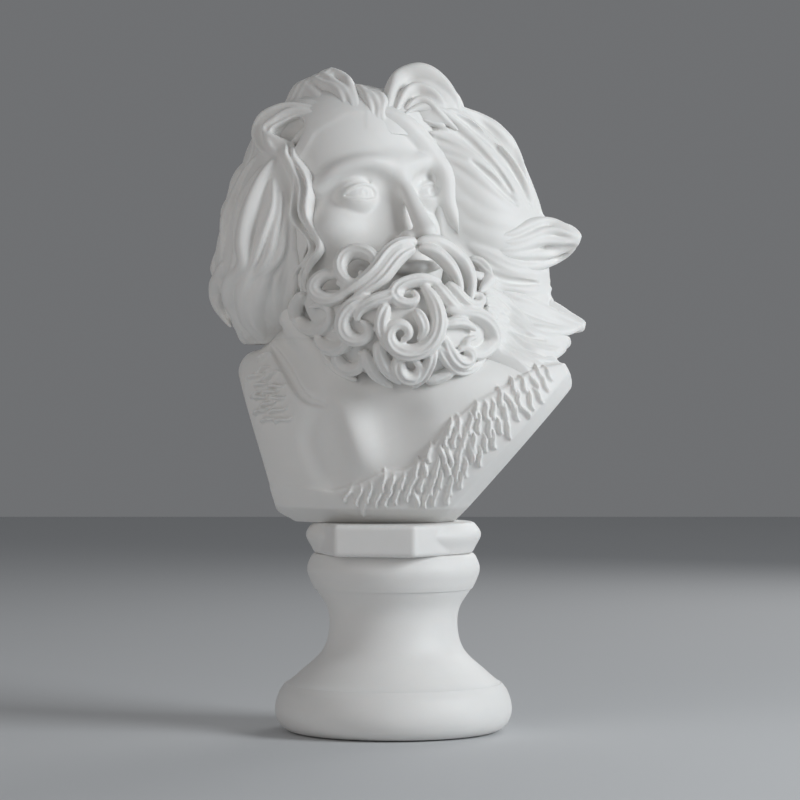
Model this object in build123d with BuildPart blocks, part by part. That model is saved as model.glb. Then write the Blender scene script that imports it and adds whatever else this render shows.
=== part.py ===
"""Portrait bust of a bearded man in white cast stone, on a turned three-piece socle.

Row frame: millimetres, +Z up, the chest faces -Y and the viewer's right is +X. The origin is the
centre of the foot, where it rests. The castings are clamped on one central tie rod. The parts of the
hair and beard that a mould can't release are cast apart and pinned on.
"""

import os

from build123d import *

# Driving dimensions of the socle
FELT_PROUD = 0.6
FELT_THICK = 2.6
SEAM_LOW = 37.0
SEAM_HIGH = 109.0
CAP_TOP = 136.0
FOOT_R = 90.5
WAIST_R = 49.0
CAP_R = 66.0
SEAM_LOW_R = 82.0
SEAM_HIGH_R = 59.5
CAP_NECK_R = 60.5
NUT_RECESS_R = 20.0
NUT_RECESS_DEEP = 22.0
FELT_OUTER_R = 74.0
FELT_INNER_R = 30.0

# Turned profiles: points (radius, height) between the ends of each curve
FOOT_CURVE = [(FOOT_R - 3.5, 6.5), (FOOT_R, 18.5), (FOOT_R - 3.0, 30.0)]
SCOTIA_CURVE = [(68.0, 48.5), (54.5, 61.5), (WAIST_R, 80.0), (WAIST_R + 1.8, 95.0)]
TORUS_CURVE = [(CAP_R - 1.8, 117.0), (CAP_R, 124.5), (CAP_R - 2.0, 131.5)]
SEAM_STEP = 0.8
FOOT_FLAT_R = 76.5

# Plinth: a round moulding with a blank tablet in front
PLINTH_TOP = 160.0
MOULDING_R = 67.0
MOULDING_Z = 150.5
TABLET_WIDTH = 61.0
TABLET_ROOT_WIDTH = 100.0
TABLET_REACH = 74.0
BUST_YAW = -11.0

# Hardware
ROD_R = 5.0
ROD_CLEAR_R = 5.75
ROD_FOOT_Z = 6.0
ROD_TOP_Z = 228.0
ANCHOR_R = 9.0
ANCHOR_FOOT_Z = 176.0
NUT_FLATS = 17.0
NUT_HIGH = 8.0
WASHER_R = 15.0
WASHER_THICK = 2.5
SPRING_WASHER_R = 8.0
SPRING_WASHER_THICK = 2.2
PIN_R = 3.0
PIN_REACH = 9.0
PIN_CIRCLE_R = 36.0
DOWEL_R = 6.0
DOWEL_REACH = 32.0
LOCK_PIN_R = 2.0
LOCK_PIN_LONG = 26.0
ROD_CHAMFER = 0.8
SPRING_SLIT = 1.0

# Head: skull centre, and the way that the face turns and lifts
SKULL = Vector(-42.0, 12.0, 396.0)
HEAD_YAW = 36.0
HEAD_PITCH = 13.0
NECK_JOINT_Z = 300.0

# The chest seen from the front, cut off aslant at both arms: points (x, height)
CHEST_OUTLINE = [
    (-72, PLINTH_TOP),
    (-88, 168),
    (-100, 210),
    (-120, 276),
    (-112, 291),
    (120, 291),
    (132, 268),
    (130, 250),
    (106, 226),
    (58, 168),
    (52, PLINTH_TOP),
]
CHEST_HALF_DEPTH = 90.0

# Sections of the castings: (height, x, y, x radius, y radius)
CHEST_SECTIONS = [
    (PLINTH_TOP - 4, -14, 0, 68, 58),
    (195, -4, 0, 104, 72),
    (240, 6, 0, 128, 78),
    (275, 6, 4, 132, 72),
    (292, 2, 10, 118, 60),
]
NECK_JOINT = (NECK_JOINT_Z, -26, 12, 56, 56)
NECK_ROOT = [(270, -16, 12, 82, 62), (291, -22, 12, 62, 58), NECK_JOINT]
NECK_SECTIONS = [NECK_JOINT, (330, -34, 12, 52, 54), (372, -40, 12, 52, 58)]
NECK_DOWEL_AT = (-28, 14, NECK_JOINT_Z)
# These stand in the head's own frame: height above the skull's centre, then to its left and back
HEAD_SECTIONS = [
    (-104, 0, -48, 20, 18),
    (-86, 0, -40, 42, 42),
    (-50, 0, -22, 60, 66),
    (0, 0, -4, 71, 86),
    (40, 0, 0, 71, 86),
    (74, 0, -2, 54, 66),
    (94, 0, -4, 20, 24),
]
HAIR_SECTIONS = {
    "beard": [
        (261, 14, -62, 16, 16),
        (275, 10, -62, 44, 38),
        (305, 6, -60, 68, 50),
        (335, -2, -56, 70, 50),
        (358, -2, -54, 58, 42),
        (374, 0, -60, 36, 28),
    ],
    "hair_left": [
        (297, -106, 5, 14, 24),
        (320, -99, 5, 32, 46),
        (355, -97, 5, 42, 60),
        (400, -88, 8, 42, 66),
        (440, -76, 12, 40, 62),
        (464, -72, 10, 32, 46),
        (477, -66, 8, 16, 26),
    ],
    "hair_right": [
        (268, 102, 24, 18, 26),
        (290, 92, 24, 34, 40),
        (325, 70, 26, 54, 50),
        (360, 58, 28, 64, 56),
        (400, 48, 28, 68, 60),
        (440, 36, 28, 62, 58),
        (474, 24, 24, 40, 42),
    ],
    "hair_back": [
        (288, -42, 60, 40, 26),
        (325, -40, 64, 66, 42),
        (380, -36, 62, 76, 50),
        (430, -36, 56, 72, 54),
        (466, -36, 42, 60, 50),
        (488, -34, 26, 36, 36),
    ],
    "hair_crown": [(452, -22, 0, 58, 56), (474, -20, 2, 50, 50), (490, -16, 4, 30, 32)],
    "crown_lock_left": [
        (472, -58, 2, 30, 28),
        (488, -52, 0, 25, 22),
        (500, -47, -2, 14, 13),
        (508, -46, -3, 4, 4),
    ],
    "crown_lock_right": [
        (466, 26, 0, 34, 30),
        (486, 24, -2, 28, 24),
        (502, 19, -4, 17, 14),
        (511, 17, -4, 6, 5),
    ],
}
# Locks that fly off: points of the centre line, and radii from root to tip
LOCK_FLATNESS = 0.75
LOCK_SHAPES = {
    "flying_lock_upper": ([(88, 22, 366), (116, 16, 378), (142, 10, 376)], [22, 20, 12]),
    "flying_lock_lower": ([(84, 18, 326), (116, 12, 318), (146, 6, 309)], [26, 20, 4]),
}
# Pins: middle point on the joint and direction, for each piece that they hold
LOCK_PIN_SEATS = {
    "beard": [((-18, -62, 318), (0.4, -1, 0)), ((22, -62, 318), (0.4, -1, 0))],
    "hair_left": [((-98, 2, 360), (1, 0, 0)), ((-96, 14, 410), (1, 0, 0))],
    "hair_right": [((26, 30, 380), (1, 0, 0)), ((22, 32, 420), (1, 0, 0))],
    "hair_back": [((-60, 84, 370), (-0.3, 1, 0)), ((-30, 72, 410), (-0.3, 1, 0))],
    "hair_crown": [((-40, 0, 484), (0, 0, 1)), ((-8, 8, 474), (0, 0, 1))],
    "crown_lock_left": [((-52, 2, 482), (0, 0, 1))],
    "crown_lock_right": [((14, 0, 480), (0.2, 0, 1))],
    "flying_lock_upper": [((112, 18, 376), (1, -0.2, 0))],
    "flying_lock_lower": [((112, 16, 318), (1, -0.2, -0.3))],
}

FROM_BELOW = (Align.CENTER, Align.CENTER, Align.MIN)

bust_frame = Plane.XY.rotated((0, 0, BUST_YAW))
head_frame = Plane(origin=SKULL, x_dir=(1, 0, 0), z_dir=(0, 0, 1)).rotated((-HEAD_PITCH, 0, HEAD_YAW))


def stack(sections, plane=Plane.XY):
    """Smooth loft through ellipses: each is (height, x, y, x radius, y radius) in the given plane."""
    with BuildPart(mode=Mode.PRIVATE) as lofted:
        for height, x, y, rx, ry in sections:
            with BuildSketch(plane.offset(height)):
                with Locations((x, y)):
                    Ellipse(rx, ry)
        loft()
    return lofted.part


def tapered_lock(points, radii):
    """Solid lock of hair: ellipses of the given radii, set square to a spline through the points."""
    with BuildLine(mode=Mode.PRIVATE) as centre:
        Spline(*points)
    path = centre.line
    with BuildPart(mode=Mode.PRIVATE) as lock:
        for i, radius in enumerate(radii):
            share = i / (len(radii) - 1)
            square = Plane(origin=path @ share, x_dir=(0, 1, 0), z_dir=path % share)
            with BuildSketch(square):
                Ellipse(radius, radius * LOCK_FLATNESS)
        loft()
    return lock.part


def save(piece, name):
    """Writes one node's STEP file."""
    piece.label = name
    export_step(piece, f"parts/{name}.step")


def bore(radius, low, high):
    """Hole about the socle's axis, cut from the part that is being built."""
    with Locations((0, 0, low)):
        Cylinder(radius, high - low, align=FROM_BELOW, mode=Mode.SUBTRACT)


def pin_holes(z):
    """Blind holes for the two locating pins that cross the joint at height z."""
    with Locations((PIN_CIRCLE_R, 0, z), (-PIN_CIRCLE_R, 0, z)):
        Cylinder(PIN_R, 2 * PIN_REACH, mode=Mode.SUBTRACT)


os.makedirs("parts", exist_ok=True)

# ---------------------------------------------------------------- socle, turned about the Z axis
with BuildPart() as socle_base:
    with BuildSketch(Plane.XZ):
        with BuildLine():
            foot = Polyline((0, SEAM_LOW), (0, FELT_PROUD), (FOOT_FLAT_R, FELT_PROUD))
            rim = (SEAM_LOW_R + SEAM_STEP, SEAM_LOW)
            side = Spline(foot @ 1, *FOOT_CURVE, rim, tangents=((1, 0.12), (-0.75, 1)))
            Line(side @ 1, foot @ 0)
        make_face()
    revolve(axis=Axis.Z)
    bore(ROD_CLEAR_R, 0, SEAM_LOW)
    bore(NUT_RECESS_R, 0, NUT_RECESS_DEEP)
    with BuildSketch(Plane.XY.offset(FELT_PROUD)):
        Circle(FELT_OUTER_R)
        Circle(FELT_INNER_R, mode=Mode.SUBTRACT)
    extrude(amount=FELT_THICK - FELT_PROUD, mode=Mode.SUBTRACT)
    pin_holes(SEAM_LOW)

with BuildPart() as socle_waist:
    with BuildSketch(Plane.XZ):
        with BuildLine():
            low = Line((0, SEAM_LOW), (SEAM_LOW_R, SEAM_LOW))
            rim = (SEAM_HIGH_R, SEAM_HIGH)
            scotia = Spline(low @ 1, *SCOTIA_CURVE, rim, tangents=((-1, 0.62), (0.62, 1)))
            Polyline(scotia @ 1, (0, SEAM_HIGH), low @ 0)
        make_face()
    revolve(axis=Axis.Z)
    bore(ROD_CLEAR_R, SEAM_LOW, SEAM_HIGH)
    pin_holes(SEAM_LOW)
    pin_holes(SEAM_HIGH)

with BuildPart() as socle_cap:
    with BuildSketch(Plane.XZ):
        with BuildLine():
            low = Line((0, SEAM_HIGH), (SEAM_HIGH_R + SEAM_STEP, SEAM_HIGH))
            neck_rim = (CAP_NECK_R, CAP_TOP)
            torus = Spline(low @ 1, *TORUS_CURVE, neck_rim, tangents=((0.6, 1), (-1, 0.45)))
            Polyline(torus @ 1, (0, CAP_TOP), low @ 0)
        make_face()
    revolve(axis=Axis.Z)
    bore(ROD_CLEAR_R, SEAM_HIGH, CAP_TOP)
    pin_holes(SEAM_HIGH)
    pin_holes(CAP_TOP)

with BuildPart() as felt_ring:
    with BuildSketch():
        Circle(FELT_OUTER_R)
        Circle(FELT_INNER_R, mode=Mode.SUBTRACT)
    extrude(amount=FELT_THICK)

# ---------------------------------------------------------------- plinth under the chest
with BuildPart() as bust_plinth:
    with BuildSketch(Plane.XZ):
        with BuildLine():
            low = Line((0, CAP_TOP), (CAP_NECK_R, CAP_TOP))
            moulding = Spline(
                low @ 1,
                (MOULDING_R - 2.6, MOULDING_Z - 6.5),
                (MOULDING_R, MOULDING_Z),
                (MOULDING_R - 6.0, PLINTH_TOP),
                tangents=((0.35, 1), (-0.8, 1)),
            )
            Polyline(moulding @ 1, (0, PLINTH_TOP), low @ 0)
        make_face()
    revolve(axis=Axis.Z)
    with BuildSketch(bust_frame.offset(CAP_TOP)):
        with BuildLine():
            Polyline(
                (-TABLET_ROOT_WIDTH / 2, -TABLET_REACH / 2),
                (-TABLET_WIDTH / 2, -TABLET_REACH),
                (TABLET_WIDTH / 2, -TABLET_REACH),
                (TABLET_ROOT_WIDTH / 2, -TABLET_REACH / 2),
                (0, 0),
                close=True,
            )
        make_face()
    extrude(amount=PLINTH_TOP - CAP_TOP)
    bore(ROD_CLEAR_R, CAP_TOP, PLINTH_TOP)
    pin_holes(CAP_TOP)
    pin_holes(PLINTH_TOP)

# ---------------------------------------------------------------- chest, cut off as a herm
with BuildPart() as chest:
    with BuildSketch(Plane.XZ):
        with BuildLine():
            Polyline(*CHEST_OUTLINE, close=True)
        make_face()
    extrude(amount=CHEST_HALF_DEPTH, both=True)
    add(stack(CHEST_SECTIONS, bust_frame), mode=Mode.INTERSECT)
    add(stack(NECK_ROOT))
    bore(ROD_CLEAR_R, PLINTH_TOP, ANCHOR_FOOT_Z)
    bore(ANCHOR_R, ANCHOR_FOOT_Z, ROD_TOP_Z)
    pin_holes(PLINTH_TOP)
    with Locations(NECK_DOWEL_AT):
        Cylinder(DOWEL_R, 2 * DOWEL_REACH, mode=Mode.SUBTRACT)

# ---------------------------------------------------------------- head with its neck
with BuildPart() as head:
    add(stack(NECK_SECTIONS))
    add(stack(HEAD_SECTIONS, head_frame))
    add(chest.part, mode=Mode.SUBTRACT)
    with Locations(NECK_DOWEL_AT):
        Cylinder(DOWEL_R, 2 * DOWEL_REACH, mode=Mode.SUBTRACT)

# ---------------------------------------------------------------- hair and beard, cast apart
raw_pieces = {name: stack(sections) for name, sections in HAIR_SECTIONS.items()}
raw_pieces |= {name: tapered_lock(*shape) for name, shape in LOCK_SHAPES.items()}

castings = {"chest": chest.part, "head": head.part}
for name, raw in raw_pieces.items():
    with BuildPart() as casting:
        add(raw)
        for neighbour in castings.values():
            add(neighbour, mode=Mode.SUBTRACT)
    castings[name] = casting.part

# ---------------------------------------------------------------- steel pins that hold them
with BuildPart() as lock_pins:
    for seats in LOCK_PIN_SEATS.values():
        for middle, direction in seats:
            with Locations(Plane(origin=middle, z_dir=direction)):
                Cylinder(LOCK_PIN_R, LOCK_PIN_LONG)

for name in castings:
    with BuildPart() as drilled:
        add(castings[name])
        add(lock_pins.part, mode=Mode.SUBTRACT)
    castings[name] = drilled.part

# ---------------------------------------------------------------- tie rod and its fittings
with BuildPart() as threaded_rod:
    with Locations((0, 0, ROD_FOOT_Z)):
        Cylinder(ROD_R, ROD_TOP_Z - ROD_FOOT_Z, align=FROM_BELOW)
    chamfer(threaded_rod.edges(), ROD_CHAMFER)

with BuildPart() as rod_anchor:
    with Locations((0, 0, ANCHOR_FOOT_Z)):
        Cylinder(ANCHOR_R, ROD_TOP_Z - ANCHOR_FOOT_Z, align=FROM_BELOW)
    bore(ROD_R, ANCHOR_FOOT_Z, ROD_TOP_Z)

washer_top = NUT_RECESS_DEEP
with BuildPart() as rod_washer:
    with Locations((0, 0, washer_top - WASHER_THICK)):
        Cylinder(WASHER_R, WASHER_THICK, align=FROM_BELOW)
    bore(ROD_CLEAR_R, washer_top - WASHER_THICK, washer_top)

spring_top = washer_top - WASHER_THICK
with BuildPart() as spring_washer:
    with Locations((0, 0, spring_top - SPRING_WASHER_THICK)):
        Cylinder(SPRING_WASHER_R, SPRING_WASHER_THICK, align=FROM_BELOW)
    bore(ROD_CLEAR_R, spring_top - SPRING_WASHER_THICK, spring_top)
    with Locations((SPRING_WASHER_R, 0, spring_top)):
        Box(2 * SPRING_WASHER_R, SPRING_SLIT, 3 * SPRING_WASHER_THICK, mode=Mode.SUBTRACT)

nut_top = spring_top - SPRING_WASHER_THICK
with BuildPart() as rod_nut:
    with BuildSketch(Plane.XY.offset(nut_top - NUT_HIGH)):
        RegularPolygon(NUT_FLATS / 2, 6, major_radius=False)
        Circle(ROD_R, mode=Mode.SUBTRACT)
    extrude(amount=NUT_HIGH)

with BuildPart() as locating_pins:
    for joint_z in (SEAM_LOW, SEAM_HIGH, CAP_TOP, PLINTH_TOP):
        with Locations((PIN_CIRCLE_R, 0, joint_z), (-PIN_CIRCLE_R, 0, joint_z)):
            Cylinder(PIN_R, 2 * PIN_REACH)

with BuildPart() as neck_dowel:
    with Locations(NECK_DOWEL_AT):
        Cylinder(DOWEL_R, 2 * DOWEL_REACH)

# ---------------------------------------------------------------- one STEP file for each node
turned = {
    "socle_base": socle_base,
    "socle_waist": socle_waist,
    "socle_cap": socle_cap,
    "felt_ring": felt_ring,
    "bust_plinth": bust_plinth,
    "threaded_rod": threaded_rod,
    "rod_anchor": rod_anchor,
    "rod_washer": rod_washer,
    "spring_washer": spring_washer,
    "rod_nut": rod_nut,
    "locating_pins": locating_pins,
    "neck_dowel": neck_dowel,
    "lock_pins": lock_pins,
}
for name, builder in turned.items():
    save(builder.part, name)
for name, casting in castings.items():
    save(casting, name)
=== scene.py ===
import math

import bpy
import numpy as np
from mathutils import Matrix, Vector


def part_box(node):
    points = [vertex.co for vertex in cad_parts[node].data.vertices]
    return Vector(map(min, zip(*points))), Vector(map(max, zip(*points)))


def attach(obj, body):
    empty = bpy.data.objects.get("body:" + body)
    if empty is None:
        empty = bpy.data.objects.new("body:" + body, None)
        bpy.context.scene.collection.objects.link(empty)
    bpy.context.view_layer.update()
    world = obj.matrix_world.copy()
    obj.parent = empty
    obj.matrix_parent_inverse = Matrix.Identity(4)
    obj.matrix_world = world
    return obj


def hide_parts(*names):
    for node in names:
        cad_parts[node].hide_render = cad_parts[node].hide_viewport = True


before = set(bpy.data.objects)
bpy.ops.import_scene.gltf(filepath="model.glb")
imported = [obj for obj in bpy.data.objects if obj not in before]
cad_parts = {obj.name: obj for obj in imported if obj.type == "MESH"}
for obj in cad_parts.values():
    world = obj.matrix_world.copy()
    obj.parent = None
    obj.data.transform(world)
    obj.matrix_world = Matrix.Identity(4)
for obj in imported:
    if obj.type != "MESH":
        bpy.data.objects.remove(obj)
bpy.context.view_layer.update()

# A cast-stone portrait bust on a turned socle. The stone is sculpted here in blocks of signed
# distances ("clay"): each CAD casting gives the mass of its piece, and locks, curls, folds and
# features are blended into it. Lengths are in millimetres until a piece becomes a mesh.

import openvdb
from mathutils import Matrix, Vector

MM = 0.001
# The distance in empty clay, the voxels of true distance at a surface, and how coarse a draft is.
AIR = 30.0
SKIN = 4.0
COARSE = 1.0

# Where the viewer's eye is, and the stretch of its line of sight that can meet the bust.
VIEWER = np.array([5.0, -2295.0, 252.8])
SIGHT_FROM = 2160.0
SIGHT_LENGTH = 230.0

# The middle of the skull and how the head is turned.
SKULL = np.array([-42.0, 12.0, 396.0])
HEAD_YAW = math.radians(36)
HEAD_PITCH = math.radians(13)
HEAD_ROLL = math.radians(-3)


# ---------------------------------------------------------------- clay

def smooth_min(a, b, k):
    """The lower of two distances, rounded where they are within k of each other."""
    near = np.maximum(k - np.abs(a - b), 0) / k
    return np.minimum(a, b) - near * near * (k / 4)


def row(value, axis):
    """A row of coordinates laid along one axis of a block."""
    shape = [1, 1, 1]
    shape[axis] = -1
    return value.reshape(shape)


class Clay:
    """A block of signed distances, negative inside the stone."""

    def __init__(self, low, high, voxel):
        self.voxel = voxel * COARSE
        self.low = np.array(low, float)
        count = np.ceil((np.array(high, float) - self.low) / self.voxel).astype(int) + 1
        self.d = np.full(count, AIR, np.float32)

    def window(self, low, high):
        """The slices that cover a box."""
        first = np.floor((np.array(low) - self.low) / self.voxel).astype(int)
        last = np.ceil((np.array(high) - self.low) / self.voxel).astype(int) + 1
        first = np.clip(first, 0, self.d.shape)
        last = np.clip(last, 0, self.d.shape)
        return tuple(slice(a, b) for a, b in zip(first, last))

    def places(self, window):
        """The coordinates of a window's voxels, one row for each axis."""
        return [row(self.low[i] + self.voxel * np.arange(s.start, s.stop), i).astype(np.float32)
                for i, s in enumerate(window)]

    def join(self, window, distance, blend):
        self.d[window] = smooth_min(self.d[window], distance, max(blend, 0.01))

    def carve(self, window, distance, blend):
        self.d[window] = -smooth_min(-self.d[window], distance, max(blend, 0.01))

    def shape(self, low, high, distance, blend=0.5, hollow=False):
        """Joins or carves a shape that distance(x, y, z) describes, within a box."""
        room = blend + 2 * self.voxel
        window = self.window(np.array(low) - room, np.array(high) + room)
        if min(s.stop - s.start for s in window) < 1:
            return
        act = self.carve if hollow else self.join
        act(window, distance(*self.places(window)), blend)

    def lump(self, centre, radii, blend=4, turn=None, hollow=False):
        """An ellipsoid."""
        turn = np.eye(3) if turn is None else turn
        centre, radii = np.array(centre, float), np.array(radii, float)
        reach = np.sqrt(((turn * radii) ** 2).sum(1))

        def distance(x, y, z):
            p = [x - centre[0], y - centre[1], z - centre[2]]
            local = [turn[0, i] * p[0] + turn[1, i] * p[1] + turn[2, i] * p[2] for i in range(3)]
            scaled = np.sqrt(sum((local[i] / radii[i]) ** 2 for i in range(3)))
            slope = np.sqrt(sum((local[i] / radii[i] ** 2) ** 2 for i in range(3)))
            return scaled * (scaled - 1) / np.maximum(slope, 1e-6)

        self.shape(centre - reach, centre + reach, distance, blend, hollow)

    def limb(self, points, radii, blend=4, hollow=False):
        """A chain of rounded cones through points, blended in as one shape."""
        points = np.array(points, float)
        radii = np.broadcast_to(np.array(radii, float), len(points))

        def distance(x, y, z):
            nearest = None
            for a, b, ra, rb in zip(points[:-1], points[1:], radii[:-1], radii[1:]):
                along = b - a
                p = [x - a[0], y - a[1], z - a[2]]
                t = (p[0] * along[0] + p[1] * along[1] + p[2] * along[2]) / max(along @ along, 1e-9)
                t = np.clip(t, 0, 1)
                gap = np.sqrt(sum((p[i] - t * along[i]) ** 2 for i in range(3))) - (ra + (rb - ra) * t)
                nearest = gap if nearest is None else np.minimum(nearest, gap)
            return nearest

        reach = radii.max()
        self.shape(points.min(0) - reach, points.max(0) + reach, distance, blend, hollow)

    def solid(self, points, quads, triangles, blend=1.0, hollow=False, grow=0.0, reach=0.0):
        """A closed mesh, with true distances as far as reach from its surface."""
        skin = max(SKIN, reach / self.voxel)
        room = skin * self.voxel + blend
        window = self.window(points.min(0) - room, points.max(0) + room)
        if min(s.stop - s.start for s in window) < 2:
            return
        scaled = ((points - self.low) / self.voxel).astype(np.float32)
        grid = openvdb.FloatGrid.createLevelSetFromPolygons(
            scaled, triangles=triangles, quads=quads, halfWidth=skin)
        block = np.zeros([s.stop - s.start for s in window], np.float32)
        grid.copyToArray(block, ijk=tuple(int(s.start) for s in window))
        act = self.carve if hollow else self.join
        act(window, block * self.voxel - grow, blend)

    def node(self, name, blend=1.0, grow=0.0, reach=0.0):
        """A CAD casting's own shape."""
        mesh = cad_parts[name].data
        mesh.calc_loop_triangles()
        points = np.zeros(len(mesh.vertices) * 3, np.float32)
        mesh.vertices.foreach_get("co", points)
        corners = np.zeros(len(mesh.loop_triangles) * 3, np.int32)
        mesh.loop_triangles.foreach_get("vertices", corners)
        self.solid(points.reshape(-1, 3) / MM, np.zeros((0, 4), np.uint32),
                   corners.reshape(-1, 3).astype(np.uint32), blend, grow=grow, reach=reach)

    def part(self, low, high):
        """A copy of part of this clay, on the same voxels."""
        window = self.window(low, high)
        part = Clay.__new__(Clay)
        part.voxel = self.voxel
        part.low = self.low + self.voxel * np.array([s.start for s in window])
        part.d = self.d[window].copy()
        return part

    def copy(self):
        return self.part(self.low, self.low + self.voxel * np.array(self.d.shape))

    def empty_copy(self):
        """Empty clay on the same voxels."""
        empty = self.copy()
        empty.d[:] = AIR
        return empty

    def everywhere(self):
        """The coordinates of all the voxels, one row for each axis."""
        return self.places([slice(0, count) for count in self.d.shape])

    def quads_at(self, depth=0.0):
        """The surface at a depth, as points in the bust's frame and quads."""
        band = SKIN * self.voxel + abs(depth)
        block = np.clip(self.d, -band, band)
        for axis in range(3):
            edge = [slice(None)] * 3
            for side in (0, -1):
                edge[axis] = side
                block[tuple(edge)] = band
        grid = openvdb.FloatGrid(band)
        grid.copyFromArray(np.ascontiguousarray(block), tolerance=0.0)
        points, quads = grid.convertToQuads(isovalue=depth)
        return points * self.voxel + self.low, quads[:, ::-1]

    def round_edges(self, radius):
        """Rounds outer edges to a radius, or inner ones if it is negative, by an offset in and out."""
        points, quads = self.quads_at(-radius)
        self.d[:] = AIR
        self.solid(points, np.ascontiguousarray(quads), np.zeros((0, 3), np.uint32), 0.01,
                   grow=radius, reach=abs(radius) + 6)

    def soften(self, passes=1):
        """Wears the shape slightly, as a rubbed casting is."""
        for _ in range(passes):
            for axis in range(3):
                ahead = np.roll(self.d, -1, axis)
                back = np.roll(self.d, 1, axis)
                self.d = (2 * self.d + ahead + back) / 4

    def sample(self, points):
        """The distance at points, by trilinear interpolation."""
        p = (np.asarray(points, float) - self.low) / self.voxel
        p = np.clip(p, 0, np.array(self.d.shape) - 1.001)
        i = p.astype(int)
        f = p - i
        total = 0
        for dx in (0, 1):
            for dy in (0, 1):
                for dz in (0, 1):
                    weight = (np.abs(1 - dx - f[..., 0]) * np.abs(1 - dy - f[..., 1])
                              * np.abs(1 - dz - f[..., 2]))
                    total = total + weight * self.d[i[..., 0] + dx, i[..., 1] + dy, i[..., 2] + dz]
        return total

    def normal(self, points, step=3.0):
        """The outward direction at points."""
        points = np.asarray(points, float)
        slope = np.stack([self.sample(points + step * axis) - self.sample(points - step * axis)
                          for axis in np.eye(3)], -1)
        return slope / np.maximum(np.linalg.norm(slope, axis=-1, keepdims=True), 1e-6)

    def cast(self, start, direction, reach):
        """Where a ray first meets the stone, or else where it passes closest."""
        steps = np.arange(0, reach, 0.5)
        line = np.asarray(start) + steps[:, None] * np.asarray(direction)
        values = self.sample(line)
        inside = np.nonzero(values < 0)[0]
        return line[inside[0] if len(inside) else int(values.argmin())]

    def cast_piece(self, name, node, material):
        """Turns the clay into a stone casting, in metres, that stands for a CAD node."""
        points, quads = self.quads_at()
        piece = mesh_object(name, points * MM, quads)
        thin_out(piece, len(quads) * 2)
        piece.data.materials.append(material)
        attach(piece, "root")
        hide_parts(node)


MOST_TRIANGLES = 190000
SHARP_ANGLE = math.radians(50)


def thin_out(piece, triangles):
    """Merges the flattest faces of a piece that has more triangles than it needs."""
    if triangles <= MOST_TRIANGLES:
        return
    modifier = piece.modifiers.new("thin_out", "DECIMATE")
    modifier.ratio = MOST_TRIANGLES / triangles
    graph = bpy.context.evaluated_depsgraph_get()
    mesh = bpy.data.meshes.new_from_object(piece.evaluated_get(graph))
    piece.modifiers.clear()
    piece.data = mesh


def mesh_object(name, points, quads):
    """A smooth-shaded object, with sharp edges kept sharp."""
    mesh = bpy.data.meshes.new(name)
    mesh.vertices.add(len(points))
    mesh.vertices.foreach_set("co", np.ascontiguousarray(points, np.float32).ravel())
    mesh.loops.add(len(quads) * 4)
    mesh.loops.foreach_set("vertex_index", np.ascontiguousarray(quads, np.int32).ravel())
    mesh.polygons.add(len(quads))
    mesh.polygons.foreach_set("loop_start", np.arange(0, len(quads) * 4, 4, dtype=np.int32))
    mesh.polygons.foreach_set("use_smooth", np.ones(len(quads), bool))
    mesh.update(calc_edges=True)
    mesh.validate()
    mesh.set_sharp_from_angle(angle=SHARP_ANGLE)
    piece = bpy.data.objects.new(name, mesh)
    bpy.context.scene.collection.objects.link(piece)
    return piece


# ---------------------------------------------------------------- curves and locks

def curve(points, spacing=1.6):
    """A smooth line through points, evenly stepped."""
    p = np.array(points, float)
    p = np.vstack([2 * p[0] - p[1], p, 2 * p[-1] - p[-2]])
    line = []
    for a, b, c, d in zip(p[:-3], p[1:-2], p[2:-1], p[3:]):
        steps = max(2, int(np.linalg.norm(c - b) / spacing))
        t = np.linspace(0, 1, steps, endpoint=False)[:, None]
        line.append(0.5 * (2 * b + (c - a) * t + (2 * a - 5 * b + 4 * c - d) * t ** 2
                           + (3 * b - a - 3 * c + d) * t ** 3))
    return np.vstack(line + [p[-2:-1]])


def unit(v):
    return v / np.maximum(np.linalg.norm(v, axis=-1, keepdims=True), 1e-9)


# A lock's section has this many points, and its taper takes up this share of its length.
SECTION_POINTS = 32
TAPER_SHARE = 0.45


def lock_mesh(path, up, width, height, strands, root=0.2, tip=0.12, groove=0.34, grow_in=0.22):
    """A lock of hair: a tapered tube with rounded strands along its outer side."""
    path = np.asarray(path, float)
    count = len(path)
    t = np.linspace(0, 1, count)
    swell = np.minimum(root + (1 - root) * np.sqrt(np.clip(t / grow_in, 0, 1)),
                       tip + (1 - tip) * np.clip((1 - t) / TAPER_SHARE, 0, 1) ** 0.75)
    along = unit(np.gradient(path, axis=0))
    up = unit(up - (up * along).sum(1, keepdims=True) * along)
    side = np.cross(along, up)
    angle = np.linspace(0, 2 * math.pi, SECTION_POINTS, endpoint=False)
    u, v = np.cos(angle), np.sin(angle)
    ridge = 1 - groove + groove * np.abs(np.sin(math.pi * strands * (u + 1) / 2)) ** 0.8
    v = np.where(v > 0, v * ridge, 0.8 * v)
    rings = (path[:, None] + side[:, None] * (u[None, :, None] * (width * swell)[:, None, None])
             + up[:, None] * (v[None, :, None] * (height * swell)[:, None, None]))
    points = np.vstack([rings.reshape(-1, 3), path[:1], path[-1:]])
    i, j = np.meshgrid(np.arange(count - 1), np.arange(SECTION_POINTS), indexing="ij")
    k = (j + 1) % SECTION_POINTS
    quads = np.stack([i * SECTION_POINTS + j, i * SECTION_POINTS + k,
                      (i + 1) * SECTION_POINTS + k, (i + 1) * SECTION_POINTS + j], -1)
    j = np.arange(SECTION_POINTS)
    k = (j + 1) % SECTION_POINTS
    end = (count - 1) * SECTION_POINTS
    first = np.stack([np.full_like(j, count * SECTION_POINTS), k, j], -1)
    last = np.stack([np.full_like(j, count * SECTION_POINTS + 1), end + j, end + k], -1)
    return points, quads.reshape(-1, 4).astype(np.uint32), np.vstack([first, last]).astype(np.uint32)


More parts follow.
